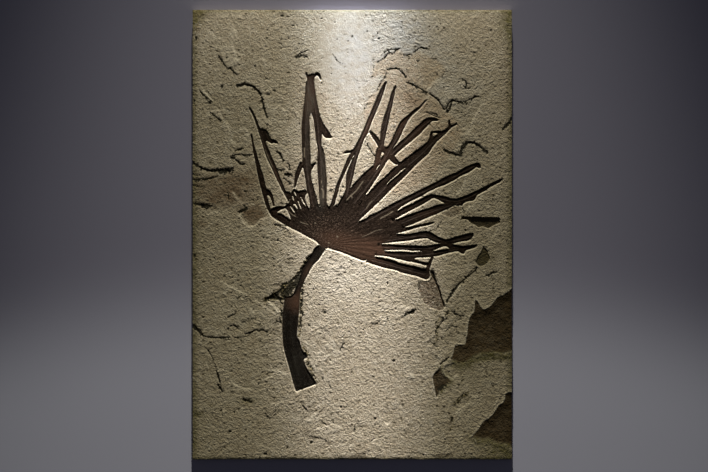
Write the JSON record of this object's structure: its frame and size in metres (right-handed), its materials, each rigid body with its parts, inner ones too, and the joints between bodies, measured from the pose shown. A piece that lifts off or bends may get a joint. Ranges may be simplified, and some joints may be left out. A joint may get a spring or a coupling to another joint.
{
  "type": "fossil palm frond slab",
  "caption": "Rectangular limestone slab lying flat, with a dark fossil fan palm frond and its stalk pressed into the upper face and a flaked lower corner.",
  "frame": {"origin": "middle of the slab's underside, on the surface it lies on", "axes": "+Z out of the face that carries the frond, +Y along the slab's long side towards the leaflet tips, +X along its short side to the right of the frond"},
  "size_m": [0.61, 0.859, 0.022],
  "materials": {
    "matrix": "split, matt, fine leathery grain",
    "leaf_film": "ribbed, dull",
    "stalk_film": "finely striated, dull"
  },
  "bodies": {
    "root": {"stone_slab": "matrix", "petiole": "stalk_film", "fan_blade": "leaf_film", "leaflet_far_left": "leaf_film", "leaflet_left": "leaf_film", "leaflet_upright_left": "leaf_film", "leaflet_upright_right": "leaf_film", "leaflet_steep": "leaf_film", "leaflet_upper_pair": "leaf_film", "leaflet_inner_right": "leaf_film", "leaflet_outer_right": "leaf_film", "leaflet_right_upper": "leaf_film", "leaflet_right_middle": "leaf_film", "leaflet_right_thin": "leaf_film", "leaflet_lower_upper": "leaf_film", "leaflet_lower_middle": "leaf_film", "leaflet_lowest": "leaf_film"}
  },
  "joints": []
}
